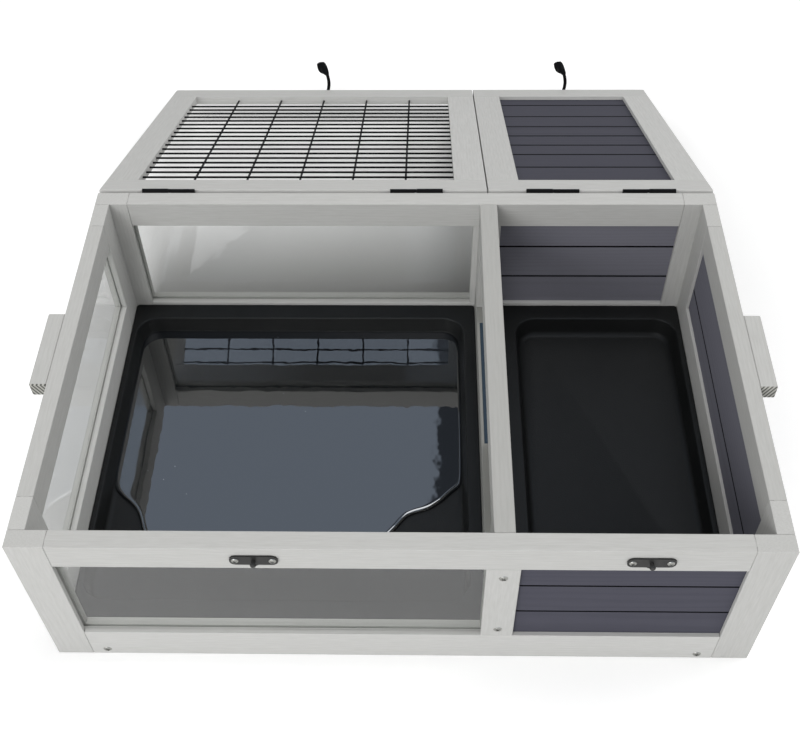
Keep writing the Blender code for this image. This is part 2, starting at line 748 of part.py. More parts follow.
def grip_mesh(name, end):
    """The leaf-shaped grip at the hook's end, which bends out from the box as the bar does."""
    middle = Vector((sum(x for x, _ in grip_outline), sum(z for _, z in grip_outline))) / len(grip_outline)
    work = bmesh.new()
    rings = []
    for inset, lift in ((grip_edge, -0.5), (0.0, -0.5 + grip_edge / arm_diameter),
                        (0.0, 0.5 - grip_edge / arm_diameter), (grip_edge, 0.5)):
        ring = []
        for x, z in grip_outline:
            away = Vector((x, z)) - middle
            at = (Vector((x, z)) - away.normalized() * (inset / MM)) * MM
            out = arm_out * min(share_after(out_start_share, 1.0 - at.y / arm_length), 1.0)
            ring.append(work.verts.new((end.x + at.x, lift * arm_diameter - out, end.z + at.y)))
        rings.append(ring)
    for low, high in zip(rings, rings[1:]):
        for index in range(len(low)):
            after = (index + 1) % len(low)
            work.faces.new((low[index], low[after], high[after], high[index]))
    for ring in (rings[0], rings[-1]):
        work.faces.new(ring)
    bmesh.ops.triangulate(work, faces=work.faces)
    bmesh.ops.recalc_face_normals(work, faces=work.faces)
    mesh = bpy.data.meshes.new(name)
    work.to_mesh(mesh)
    work.free()
    return mesh


def hook_arm(name, x, axis):
    """The swinging hook: an eye on the rivet, a bowed bar and a flat grip."""
    outer = front_face - plate_gap - gap - arm_diameter / 2
    pivot = axis_empty(name + "_axis",
                       Vector((x, outer, hinge_z + lid_thickness / 2)) - axis.location, axis)
    arm = place(name, cylinder_mesh("arm_eye", arm_eye / 2, arm_diameter, (0, 1, 0)),
                (0, 0, 0), black_hardware, pivot)
    bar = place(name + "_bar", arm_mesh(name + "_bar"), (0, 0, 0), None, pivot, guides)
    boolean(arm, as_guide(bar), "UNION")
    end = Vector((arm_bow * sin(pi / bow_end_share) - arm_lean, 0.0, -arm_length))
    grip = place(name + "_grip", grip_mesh("grip", end), (0, 0, 0), None, pivot, guides)
    boolean(arm, as_guide(grip), "UNION")
    bore = place(name + "_eye_bore", cylinder_mesh("eye_bore", arm_eye_bore / 2, arm_diameter + 2 * overrun,
                                                   (0, 1, 0)), (0, 0, 0), None, pivot, guides)
    boolean(arm, as_guide(bore), "DIFFERENCE")


def lid(side, run, hinge_inset, catch_offset, is_mesh):
    """A lid with its hinges and hook, modelled closed and then thrown open."""
    axis = axis_empty(side + "_lid_axis", (0.0, hinge_y, hinge_z))
    catch_x = sum(run) / 2 + catch_offset
    lid_frame(side, run, axis, is_mesh)
    hinge(side + "_hinge_left", run[0] + hinge_inset, -1, axis)
    hinge(side + "_hinge_right", run[1] - hinge_inset, 1, axis)
    catch(side + "_catch", catch_x)
    hook_plate(side + "_hook_plate", catch_x + hook_offset, axis)
    hook_arm(side + "_hook", catch_x + hook_offset, axis)
    axis.rotation_euler.x = -lid_swing


end_wall("front", (front_face, front_inner))
end_wall("rear", (rear_inner, rear_face))
side_wall("left", (-side_face, -side_inner), True)
side_wall("right", (side_inner, side_face), False)
divider()
bearers()
grab_blocks()
trays()
lid("left", (-side_face, divider_x - lid_split / 2), left_hinge_inset, left_catch_offset, True)
lid("right", (divider_x + lid_split / 2, side_face), right_hinge_inset, right_catch_offset, False)

nodes = [made for made in parts.objects if made.type == "MESH"]
print(f"{len(nodes)} nodes, lids open {degrees(lid_swing):.2f} degrees from closed")
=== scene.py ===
import json
from math import pi, radians

import bmesh
import bpy
from mathutils import Euler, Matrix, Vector


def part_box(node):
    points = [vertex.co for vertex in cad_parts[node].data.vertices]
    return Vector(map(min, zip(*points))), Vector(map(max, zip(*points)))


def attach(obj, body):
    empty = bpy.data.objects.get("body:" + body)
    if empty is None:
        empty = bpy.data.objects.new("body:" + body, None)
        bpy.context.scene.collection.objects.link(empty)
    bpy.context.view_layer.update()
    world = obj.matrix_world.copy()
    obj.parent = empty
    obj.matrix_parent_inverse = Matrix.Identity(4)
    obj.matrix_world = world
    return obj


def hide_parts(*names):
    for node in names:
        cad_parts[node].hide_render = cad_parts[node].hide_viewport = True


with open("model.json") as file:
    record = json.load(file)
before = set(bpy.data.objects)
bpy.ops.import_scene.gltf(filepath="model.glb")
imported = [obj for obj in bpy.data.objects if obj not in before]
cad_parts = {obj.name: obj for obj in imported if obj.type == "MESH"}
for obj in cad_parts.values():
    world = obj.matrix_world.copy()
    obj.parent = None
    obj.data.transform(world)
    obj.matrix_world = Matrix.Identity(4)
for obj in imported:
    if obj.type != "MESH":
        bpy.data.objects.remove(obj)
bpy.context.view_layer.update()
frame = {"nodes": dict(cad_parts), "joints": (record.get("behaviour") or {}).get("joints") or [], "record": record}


# Photographer's stand. The camera looks down over the front wall, from a little to the
# right of the box's middle, through a plain lens with no shift.
def put(name, data):
    """An object that shows a camera, a lamp or a mesh, linked into the scene."""
    thing = bpy.data.objects.new(name, data)
    bpy.context.scene.collection.objects.link(thing)
    return thing


camera_data = bpy.data.cameras.new("photo_camera")
camera_data.sensor_fit = "HORIZONTAL"
camera_data.sensor_width = 36.0
camera_data.lens = 51.48
camera = put("photo_camera", camera_data)
camera.location = (0.02655, -0.683, 1.41755)
camera.rotation_euler = (0.69118, 0.01264, 0.01478)
bpy.context.scene.camera = camera
bpy.context.scene.view_settings.view_transform = "Standard"


# Studio. A white paper sweep under an even sky. One large softbox stands far in front, to the
# left, one at the right and one overhead. A dark flag shows in what is glossy, and takes no
# light from the rest.
def srgb(code):
    """A hex colour as the linear values that a colour socket takes."""
    parts = [int(code[start:start + 2], 16) / 255 for start in (1, 3, 5)]
    return (*[part / 12.92 if part <= 0.04045 else ((part + 0.055) / 1.055) ** 2.4 for part in parts], 1.0)


def add(tree, kind, inputs=None, **settings):
    """Adds a node with its settings; each input gets a value, or a link from a socket."""
    node = tree.nodes.new(kind)
    for name, value in settings.items():
        setattr(node, name, value)
    for name, value in (inputs or {}).items():
        if isinstance(value, bpy.types.NodeSocket):
            tree.links.new(value, node.inputs[name])
        else:
            node.inputs[name].default_value = value
    return node


def seen_rays(tree):
    """1 for rays that show a thing as such: straight from the camera, mirrored or through glass."""
    path = add(tree, "ShaderNodeLightPath")
    mirrored = add(tree, "ShaderNodeMath",
                   {0: path.outputs["Is Camera Ray"], 1: path.outputs["Is Glossy Ray"]}, operation="MAXIMUM")
    return add(tree, "ShaderNodeMath", {0: mirrored.outputs[0], 1: path.outputs["Is Transmission Ray"]},
               operation="MAXIMUM").outputs[0]


def new_finish(name):
    """A new material, with its node tree and its main shader."""
    material = bpy.data.materials.new(name)
    material.use_nodes = True
    return material, material.node_tree, material.node_tree.nodes["Principled BSDF"]


# Each edge of the flag runs from where it starts to where it is full. The left and right edges
# are slopes of the way looked, sideways over forwards, and the foot is its height.
surround_strength = 0.58
flag_strength = 0.16
flag_left = (0.017, 0.025)
flag_right = (0.25, 0.15)
flag_foot = (0.4, 0.5)
world = bpy.data.worlds.new("white_surround")
world.use_nodes = True
bpy.context.scene.world = world
tree = world.node_tree
way = add(tree, "ShaderNodeSeparateXYZ", {0: add(tree, "ShaderNodeTexCoord").outputs["Generated"]})
lean = add(tree, "ShaderNodeMath", {0: way.outputs["X"], 1: way.outputs["Y"]}, operation="DIVIDE")
left_edge, right_edge, foot_edge = [
    add(tree, "ShaderNodeMapRange", {"Value": value, "From Min": start, "From Max": full})
    for value, (start, full) in ((lean.outputs[0], flag_left), (lean.outputs[0], flag_right),
                                 (way.outputs["Z"], flag_foot))]
flag = add(tree, "ShaderNodeMath", {0: left_edge.outputs[0], 1: right_edge.outputs[0]}, operation="MULTIPLY")
flag = add(tree, "ShaderNodeMath", {0: flag.outputs[0], 1: foot_edge.outputs[0]}, operation="MULTIPLY")
shown = add(tree, "ShaderNodeMapRange", {"Value": flag.outputs[0], "To Min": 1.0, "To Max": flag_strength})
strength = add(tree, "ShaderNodeMapRange", {"Value": seen_rays(tree), "To Min": surround_strength,
                                            "To Max": shown.outputs[0]})
cool = add(tree, "ShaderNodeMath", {0: seen_rays(tree), 1: foot_edge.outputs[0]}, operation="MULTIPLY")
ceiling = add(tree, "ShaderNodeMix", {0: cool.outputs[0], 6: srgb("#FFFFFF"), 7: srgb("#BDCBDE")},
              data_type="RGBA")
surround = tree.nodes["Background"]
tree.links.new(ceiling.outputs[2], surround.inputs["Color"])
tree.links.new(strength.outputs["Result"], surround.inputs["Strength"])

# Each lamp's place and width are in metres and its power is in watts. All aim at the box.
aim = Vector((0.0, 0.3, 0.15))
for name, place, size, energy in (("front_softbox", (-2.3, -4.3, 2.95), 3.4, 136.0),
                                  ("side_softbox", (3.4, 0.9, 2.7), 2.4, 30.0),
                                  ("top_softbox", (0.5, 1.05, 5.05), 2.2, 42.0)):
    lamp_data = bpy.data.lights.new(name, "AREA")
    lamp_data.shape = "DISK"
    lamp_data.size = size
    lamp_data.energy = energy
    lamp = put(name, lamp_data)
    lamp.location = place
    lamp.rotation_euler = (aim - lamp.location).to_track_quat("-Z", "Y").to_euler()

MM = 0.001
floor_half = 7.0
floor_below = 0.2 * MM
floor_mesh = bpy.data.meshes.new("studio_floor")
corners = [(x * floor_half, y * floor_half, -floor_below) for x, y in ((-1, -1), (1, -1), (1, 1), (-1, 1))]
floor_mesh.from_pydata(corners, [], [(0, 1, 2, 3)])
studio_floor = put("studio_floor", floor_mesh)

# Matt white paper. Where the camera sees it in the open, it glows a little, so that it stays
# white. A painted shadow greys it under the lids, behind the box. These places are in metres.
paper_glow = 0.2
glow_edge = 0.13
shaded_middle = (0.0, 0.62)
shaded_half = (0.42, 0.4)
lid_shadow_front = (0.4, 0.58)
lid_shadow_back = (0.64, 0.9)
lid_shadow_side = 0.05
paper, tree, matt = new_finish("white_paper_sweep")
matt.inputs["Roughness"].default_value = 0.9
matt.inputs["Specular IOR Level"].default_value = 0.1
spot = add(tree, "ShaderNodeSeparateXYZ", {0: add(tree, "ShaderNodeTexCoord").outputs["Object"]})
gaps = []
for axis, centre, half in zip("XY", shaded_middle, shaded_half):
    from_centre = add(tree, "ShaderNodeMath", {0: spot.outputs[axis], 1: centre}, operation="SUBTRACT")
    distance = add(tree, "ShaderNodeMath", {0: from_centre.outputs[0]}, operation="ABSOLUTE")
    beyond = add(tree, "ShaderNodeMath", {0: distance.outputs[0], 1: half}, operation="SUBTRACT")
    gaps.append(add(tree, "ShaderNodeMath", {0: beyond.outputs[0], 1: 0.0}, operation="MAXIMUM"))
squares = [add(tree, "ShaderNodeMath", {0: gap.outputs[0], 1: 2.0}, operation="POWER") for gap in gaps]
both = add(tree, "ShaderNodeMath", {0: squares[0].outputs[0], 1: squares[1].outputs[0]})
away = add(tree, "ShaderNodeMath", {0: both.outputs[0]}, operation="SQRT")
open_paper = add(tree, "ShaderNodeMapRange",
                 {"Value": away.outputs[0], "From Min": 0.0, "From Max": glow_edge, "To Min": 0.0,
                  "To Max": paper_glow})
# The painted shadow: grey under the lids, fading out towards the front, the back and the sides.
back = add(tree, "ShaderNodeMapRange",
           {"Value": spot.outputs["Y"], "From Min": lid_shadow_back[0], "From Max": lid_shadow_back[1], "To Min": 1.0,
            "To Max": 0.0}, interpolation_type="SMOOTHSTEP")
front = add(tree, "ShaderNodeMapRange",
            {"Value": spot.outputs["Y"], "From Min": lid_shadow_front[0], "From Max": lid_shadow_front[1]})
side = add(tree, "ShaderNodeMapRange",
           {"Value": away.outputs[0], "From Min": 0.0, "From Max": lid_shadow_side, "To Min": 1.0, "To Max": 0.0})
lid_shadow_mask = add(tree, "ShaderNodeMath", {0: back.outputs[0], 1: front.outputs[0]}, operation="MULTIPLY")
lid_shadow_mask = add(tree, "ShaderNodeMath", {0: lid_shadow_mask.outputs[0], 1: side.outputs[0]}, operation="MULTIPLY")
lid_shadowed_paper = add(tree, "ShaderNodeMix", {0: lid_shadow_mask.outputs[0], 6: srgb("#FDFDFD"), 7: srgb("#AEAEAD")},
           data_type="RGBA")
tree.links.new(lid_shadowed_paper.outputs[2], matt.inputs["Base Color"])
path = add(tree, "ShaderNodeLightPath")
strength = add(tree, "ShaderNodeMath", {0: path.outputs["Is Camera Ray"], 1: open_paper.outputs[0]},
               operation="MULTIPLY")
glow = add(tree, "ShaderNodeEmission", {"Color": srgb("#FFFFFF"), "Strength": strength.outputs[0]})
mixed = add(tree, "ShaderNodeAddShader", {0: matt.outputs[0], 1: glow.outputs[0]})
tree.links.new(mixed.outputs[0], tree.nodes["Material Output"].inputs["Surface"])
floor_mesh.materials.append(paper)


# Front and rear walls. Each is a frame of planed pine, its rails tongued into the stiles,
# sprayed with a thin light-grey wash that lets the growth rings and fibres show.
nodes = frame["nodes"]
# The turns that lay a timber's length along X, where its figure is drawn.
along_x = (0.0, 0.0, 0.0)
along_y = (0.0, 0.0, -pi / 2)
along_z = (0.0, pi / 2, 0.0)
# The timbers finished so far, whose count gives the next one its place in the log.
finished = []
# A wave texture's rings are pi / 10 apart at scale 1.
wave_period = 0.314


def pine_figure(tree, node, turn, ring_spacing, fibre_width):
    """Sockets of the growth rings and of the fibres of a timber, and its turned coordinates."""
    low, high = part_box(node)
    # Each timber comes from another place along the log and beside its pith, so no two are alike.
    count = len(finished)
    along_log = 0.37 * count
    beside_pith = (0.055 + 0.013 * (count % 5)) * (-1) ** count
    above_pith = 0.035 + 0.011 * (count % 7)
    pith = Vector((along_log, beside_pith, above_pith))
    move = pith - Euler(turn).to_matrix() @ ((low + high) / 2)
    place = add(tree, "ShaderNodeTexCoord")
    turned = add(tree, "ShaderNodeMapping",
                 {"Vector": place.outputs["Object"], "Rotation": turn, "Location": move})
    # Along the grain, the rings are drawn out 11 times and the fibres 14 times.
    drawn = add(tree, "ShaderNodeMapping", {"Vector": turned.outputs[0], "Scale": (0.09, 1.0, 1.0)})
    rings = add(tree, "ShaderNodeTexWave",
                {"Vector": drawn.outputs[0], "Scale": wave_period / ring_spacing, "Distortion": 9.0,
                 "Detail": 3.0, "Detail Scale": 0.5, "Detail Roughness": 0.5},
                wave_type="RINGS", rings_direction="X", wave_profile="SIN")
    # Late wood is a thin line in each ring, so the wave is narrowed.
    late = add(tree, "ShaderNodeMath", {0: rings.outputs["Fac"], 1: 2.2}, operation="POWER")
    fine = add(tree, "ShaderNodeMapping", {"Vector": turned.outputs[0], "Scale": (0.07, 1.0, 1.0)})
    fibres = add(tree, "ShaderNodeTexNoise",
                 {"Vector": fine.outputs[0], "Scale": 1.0 / fibre_width, "Detail": 3.0, "Roughness": 0.6})
    return late.outputs[0], fibres.outputs["Fac"], turned.outputs[0]


def whitewash(node, turn, wash_tone_and_shade, sawn_ring=None):
    """Whitewashed pine: pale grey, matt, faintly streaked, greyed per timber as tone and as painted light and
    shade.

    sawn_ring is the spacing of the rings on a timber's sawn ends, where these show.
    """
    patch_size = 111.11 * MM
    fibre_share = 0.62
    finished.append(node)
    material, tree, shader = new_finish("whitewashed_pine_" + node)
    rings, fibres, turned = pine_figure(tree, node, turn, ring_spacing=4.2 * MM, fibre_width=1.9 * MM)
    blotch = add(tree, "ShaderNodeTexNoise", {"Vector": turned, "Scale": 1 / patch_size, "Detail": 2.0})
    spread = add(tree, "ShaderNodeMapRange", {"Value": fibres, "From Min": 0.3, "From Max": 0.75})
    patch = add(tree, "ShaderNodeMapRange",
                {"Value": blotch.outputs["Fac"], "From Min": 0.4, "From Max": 0.62, "To Min": 0.03,
                 "To Max": 0.24})
    lines = add(tree, "ShaderNodeMath", {0: rings, 1: patch.outputs[0]}, operation="MULTIPLY")
    figure = add(tree, "ShaderNodeMath", {0: spread.outputs[0], 1: fibre_share, 2: lines.outputs[0]},
                 operation="MULTIPLY_ADD")
    wash = add(tree, "ShaderNodeMix", {0: figure.outputs[0], 6: srgb("#CDCDCB"), 7: srgb("#B9B9B6")},
               data_type="RGBA")
    patchy = add(tree, "ShaderNodeMapRange",
                 {"Value": blotch.outputs["Fac"], "From Min": 0.35, "From Max": 0.7, "To Min": 0.0,
                  "To Max": 0.3})
    thicker = add(tree, "ShaderNodeMix", {0: patchy.outputs[0], 6: wash.outputs[2], 7: srgb("#CFCFCD")},
                  data_type="RGBA")
    toned = add(tree, "ShaderNodeMix", {0: wash_tone_and_shade, 6: thicker.outputs[2], 7: srgb("#8C8C88")},
                data_type="RGBA")
    colour = toned
    if sawn_ring:
        # End grain drinks the wash, so the sawn ends are darker and their rings stand out.
        place = add(tree, "ShaderNodeTexCoord")
        facing = add(tree, "ShaderNodeMapping", {"Vector": place.outputs["Normal"], "Rotation": turn})
        split = add(tree, "ShaderNodeSeparateXYZ", {0: facing.outputs[0]})
        size = add(tree, "ShaderNodeMath", {0: split.outputs["X"]}, operation="ABSOLUTE")
        is_end = add(tree, "ShaderNodeMath", {0: size.outputs[0], 1: 0.5}, operation="GREATER_THAN")
        # The rings cross the end on a slant. Diagonal bands are two wave periods apart.
        slanted = add(tree, "ShaderNodeMapping", {"Vector": turned, "Scale": (1.0, 1.0, 0.55)})
        arcs = add(tree, "ShaderNodeTexWave",
                   {"Vector": slanted.outputs[0], "Scale": 2 * wave_period / sawn_ring, "Distortion": 0.8,
                    "Detail": 1.0, "Detail Scale": 0.2},
                   wave_type="BANDS", bands_direction="DIAGONAL", wave_profile="SIN")
        end_colour = add(tree, "ShaderNodeMix",
                         {0: arcs.outputs["Fac"], 6: srgb("#BFBFB9"), 7: srgb("#484844")}, data_type="RGBA")
        colour = add(tree, "ShaderNodeMix",
                     {0: is_end.outputs[0], 6: toned.outputs[2], 7: end_colour.outputs[2]}, data_type="RGBA")
    tree.links.new(colour.outputs[2], shader.inputs["Base Color"])
    dull = add(tree, "ShaderNodeMapRange", {"Value": figure.outputs[0], "To Min": 0.62, "To Max": 0.8})
    tree.links.new(dull.outputs[0], shader.inputs["Roughness"])
    shader.inputs["Specular IOR Level"].default_value = 0.14
    sunk = add(tree, "ShaderNodeMath", {0: figure.outputs[0], 1: -1.0}, operation="MULTIPLY")
    relief = add(tree, "ShaderNodeBump", {"Height": sunk.outputs[0], "Strength": 0.22, "Distance": 0.3 * MM})
    tree.links.new(relief.outputs[0], shader.inputs["Normal"])
    nodes[node].material_slots[0].material = material


# The bottom rails are washed paler than the stiles, as painted light on their shaded ledges.
for side, wash_tone_and_shade in (("front", 0.15), ("rear", 0.12)):
    for member, more in (("left_stile", 0.0), ("right_stile", 0.03), ("middle_stile", 0.01)):
        whitewash(side + "_" + member, along_z, wash_tone_and_shade + more)
    for member, more in (("bottom_rail", -0.12), ("top_rail", 0.02)):
        whitewash(side + "_" + member, along_x, wash_tone_and_shade + more)


# Side walls. The same washed pine, with lower openings, fixed between the two end walls. The
# wash is greyer on the right side than on the left, and greyest in the top rails.
for side, less in (("left", 0.14), ("right", 0.07)):
    for member, wash_tone_and_shade in (("front_stile", 0.22), ("rear_stile", 0.26)):
        whitewash(side + "_" + member, along_z, wash_tone_and_shade - less)
    for member, wash_tone_and_shade in (("bottom_rail", 0.14), ("top_rail", 0.33)):
        whitewash(side + "_" + member, along_y, wash_tone_and_shade - less)


# Divider between the rooms. Two rails and two posts of washed pine hold a thin washed
# panel, which leaves a doorway between the trays.
# The divider is washed greyer than the walls; the panel and lower rail greyest, as painted shade.
for member, wash_tone_and_shade in (("front_stile", 0.45), ("rear_stile", 0.35), ("panel", 0.75)):
    whitewash("divider_" + member, along_z, wash_tone_and_shade)
for member, wash_tone_and_shade in (("bottom_rail", 0.85), ("top_rail", 0.47)):
    whitewash("divider_" + member, along_y, wash_tone_and_shade)


# Threshold. A thin strip of dark blue-grey vinyl is stuck down in the doorway, over the open
# groove in the divider's lower rail, as a painted shadow for the shade in that groove.
sill_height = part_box("divider_bottom_rail")[1].z
doorway_ends = (262.5 * MM, 489.5 * MM)
strip_sides = (115.2 * MM, 134.8 * MM)
strip_height = 1.2 * MM
strip_edge = 0.3 * MM
strip_bevel = 0.9 * MM
strip_mesh = bpy.data.meshes.new("doorway_threshold")
work = bmesh.new()
for taken_in, height in ((0.0, 0.0), (0.0, strip_edge), (strip_bevel, strip_height)):
    west, east = strip_sides[0] + taken_in, strip_sides[1] - taken_in
    for x, y in ((west, doorway_ends[0]), (east, doorway_ends[0]),
                 (east, doorway_ends[1]), (west, doorway_ends[1])):
        work.verts.new((x, y, sill_height + height))
work.verts.ensure_lookup_table()
for base in (0, 4):
    for index in range(4):
        after = (index + 1) % 4
        work.faces.new([work.verts[base + step] for step in (index, after, after + 4, index + 4)])
work.faces.new([work.verts[index] for index in (3, 2, 1, 0)])
work.faces.new([work.verts[index] for index in (8, 9, 10, 11)])
work.to_mesh(strip_mesh)
work.free()
doorway_threshold = put("doorway_threshold", strip_mesh)

# Extruded vinyl: half dull, with a fine mottle in its blue-grey, whose darkness is painted shade.
mottle_size = 4.5455 * MM
groove_shade_vinyl, tree, shader = new_finish("blue_grey_vinyl_painted_groove_shade")
place = add(tree, "ShaderNodeTexCoord")
mottle = add(tree, "ShaderNodeTexNoise",
             {"Vector": place.outputs["Object"], "Scale": 1 / mottle_size, "Detail": 3.0})
tint = add(tree, "ShaderNodeMix", {0: mottle.outputs["Fac"], 6: srgb("#2B3844"), 7: srgb("#3A4957")},
           data_type="RGBA")
tree.links.new(tint.outputs[2], shader.inputs["Base Color"])
shader.inputs["Roughness"].default_value = 0.55
shader.inputs["Specular IOR Level"].default_value = 0.2
strip_mesh.materials.append(groove_shade_vinyl)
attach(doorway_threshold, "cabinet")


# Bearers and grab blocks. Sawn pine strips carry the trays on the floor, and a short block
# is glued under each side's rim for the hands. The blocks' sawn ends show their rings. Real
# rings are about 3 mm apart; they are drawn 5.4 mm apart, so that they show.
sawn_ring = 5.4 * MM
back_along_y = (0.0, 0.0, pi / 2)
for node in ("left_bearer", "centre_bearer", "right_bearer"):
    whitewash(node, along_y, wash_tone_and_shade=0.3)
for node, turn in (("left_grab_block", back_along_y), ("right_grab_block", along_y)):
    whitewash(node, turn, wash_tone_and_shade=0.18, sawn_ring=sawn_ring)


# Slate boards. Pine boards of uneven widths, glued edge to edge in the frames' grooves and
# painted a flat slate grey, which shows the fibres faintly; their V-shaped seams get painted shade.
def slate_paint(node, turn, rise, seams, seam_shade_half, pale, deep):
    """Flat slate-grey paint on pine: nearly even, a trace of fibre, painted shade along the seams.

    seams are the places of the seams along rise, an axis of the turned boards.
    """
    ring_share = 0.35
    fibre_share = 0.6
    finished.append(node)
    material, tree, shader = new_finish("slate_painted_pine_" + node)
    rings, fibres, _ = pine_figure(tree, node, turn, ring_spacing=6.0 * MM, fibre_width=1.8 * MM)
    trace = add(tree, "ShaderNodeMath", {0: rings, 1: ring_share}, operation="MULTIPLY")
    figure = add(tree, "ShaderNodeMath", {0: fibres, 1: fibre_share, 2: trace.outputs[0]},
                 operation="MULTIPLY_ADD")
    paint = add(tree, "ShaderNodeMix", {0: figure.outputs[0], 6: srgb(pale), 7: srgb(deep)}, data_type="RGBA")
    place = add(tree, "ShaderNodeTexCoord")
    level = add(tree, "ShaderNodeMapping", {"Vector": place.outputs["Object"], "Rotation": turn})
    split = add(tree, "ShaderNodeSeparateXYZ", {0: level.outputs[0]})
    colour = paint.outputs[2]
    # Painted shade: a near-black line along each seam, wider than the groove itself.
    for height in seams:
        seam = add(tree, "ShaderNodeMath", {0: split.outputs[rise], 1: height, 2: seam_shade_half},
                   operation="COMPARE")
        lined = add(tree, "ShaderNodeMix", {0: seam.outputs[0], 6: colour, 7: srgb("#0D0E12")},
                    data_type="RGBA")
        colour = lined.outputs[2]
    tree.links.new(colour, shader.inputs["Base Color"])
    dull = add(tree, "ShaderNodeMapRange", {"Value": figure.outputs[0], "To Min": 0.66, "To Max": 0.8})
    tree.links.new(dull.outputs[0], shader.inputs["Roughness"])
    shader.inputs["Specular IOR Level"].default_value = 0.06
    sunk = add(tree, "ShaderNodeMath", {0: figure.outputs[0], 1: -1.0}, operation="MULTIPLY")
    relief = add(tree, "ShaderNodeBump", {"Height": sunk.outputs[0], "Strength": 0.12, "Distance": 0.2 * MM})
    tree.links.new(relief.outputs[0], shader.inputs["Normal"])
    nodes[node].material_slots[0].material = material


end_seams = (180.5 * MM, 116 * MM)
side_seams = (141 * MM,)
slate_paint("front_boards", along_x, "Z", end_seams, seam_shade_half=1.7 * MM, pale="#50505A", deep="#4A4A54")
# The rear and right boards are painted paler than the front ones, as painted light for the shaded box.
slate_paint("rear_boards", along_x, "Z", end_seams, seam_shade_half=1.7 * MM, pale="#7C7C86", deep="#74747D")
slate_paint("right_boards", along_y, "Z", side_seams, seam_shade_half=1.9 * MM, pale="#7A7A84", deep="#72727C")


# Windows. Sheets of clear cast acrylic, 3 mm thick, cut to size and slid into the frames'
# grooves. They let the light into the room and hardly throw a shadow.
def clear_acrylic():
    """Clear acrylic: glassy, a little grey where it is seen through, with the last haze of rubbing marks."""
    mark_size = 16.667 * MM
    material, tree, shader = new_finish("clear_cast_acrylic")
    shader.inputs["Base Color"].default_value = srgb("#F3F4F3")
    shader.inputs["IOR"].default_value = 1.49
    shader.inputs["Transmission Weight"].default_value = 1.0
    place = add(tree, "ShaderNodeTexCoord")
    marks = add(tree, "ShaderNodeTexNoise",
                {"Vector": place.outputs["Object"], "Scale": 1 / mark_size, "Detail": 4.0})
    haze = add(tree, "ShaderNodeMapRange", {"Value": marks.outputs["Fac"], "To Min": 0.0, "To Max": 0.02})
    tree.links.new(haze.outputs[0], shader.inputs["Roughness"])
    clear = add(tree, "ShaderNodeBsdfTransparent", {"Color": srgb("#F0F1F0")})
    path = add(tree, "ShaderNodeLightPath")
    soft = add(tree, "ShaderNodeMath", {0: path.outputs["Is Shadow Ray"], 1: path.outputs["Is Diffuse Ray"]},
               operation="MAXIMUM")
    mixed = add(tree, "ShaderNodeMixShader", {0: soft.outputs[0], 1: shader.outputs[0], 2: clear.outputs[0]})
    tree.links.new(mixed.outputs[0], tree.nodes["Material Output"].inputs["Surface"])
    return material


acrylic = clear_acrylic()
for node in ("front_window", "rear_window", "left_window"):
    nodes[node].material_slots[0].material = acrylic


# Trays. Each is one sheet of black ABS, vacuum-formed into a rim, tapered walls and a flat
# floor. It drops in on the bearers and lifts out to be washed.
def round_shading(tree, made, crease):
    """Shades a mesh round, but keeps the edges sharp that bend by more than the crease."""
    smooth = add(tree, "GeometryNodeSetShadeSmooth", {0: made, "Shade Smooth": True}, domain="FACE")
    bend = add(tree, "GeometryNodeInputMeshEdgeAngle")
    gentle = add(tree, "FunctionNodeCompare", {0: bend.outputs[0], 1: crease}, data_type="FLOAT",
                 operation="LESS_THAN")
    edged = add(tree, "GeometryNodeSetShadeSmooth", {0: smooth.outputs[0], "Shade Smooth": gentle.outputs[0]},
                domain="EDGE")
    return edged.outputs[0]


def named_tree(name, sizes):
    """A geometry tree with named inputs for its sizes; returns the tree, its input node and sockets."""
    tree = bpy.data.node_groups.new(name, "GeometryNodeTree")
    tree.interface.new_socket(name="Geometry", in_out="INPUT", socket_type="NodeSocketGeometry")
    sockets = {}
    for label, value in sizes.items():
        kind = "NodeSocketInt" if isinstance(value, int) else "NodeSocketFloat"
        kind = "NodeSocketVector" if isinstance(value, tuple) else kind
        sockets[label] = tree.interface.new_socket(name=label, in_out="INPUT", socket_type=kind)
        sockets[label].default_value = value
    tree.interface.new_socket(name="Geometry", in_out="OUTPUT", socket_type="NodeSocketGeometry")
    return tree, add(tree, "NodeGroupInput"), sockets


def rounding_tree(crease):
    """A tree that welds a CAD node's loose triangles and shades its curves round."""
    tree, given, _ = named_tree("shade_round", {"Crease": crease})
    whole = add(tree, "GeometryNodeMergeByDistance", {0: given.outputs["Geometry"], "Distance": 0.01 * MM})
    add(tree, "NodeGroupOutput", {0: round_shading(tree, whole.outputs[0], given.outputs["Crease"])})
    return tree


round_tree = rounding_tree(crease=radians(38))


def rounded(node):
    """Shades a CAD node's curves round, with its shape left alone."""
    nodes[node].modifiers.new("shade_round", "NODES").node_group = round_tree


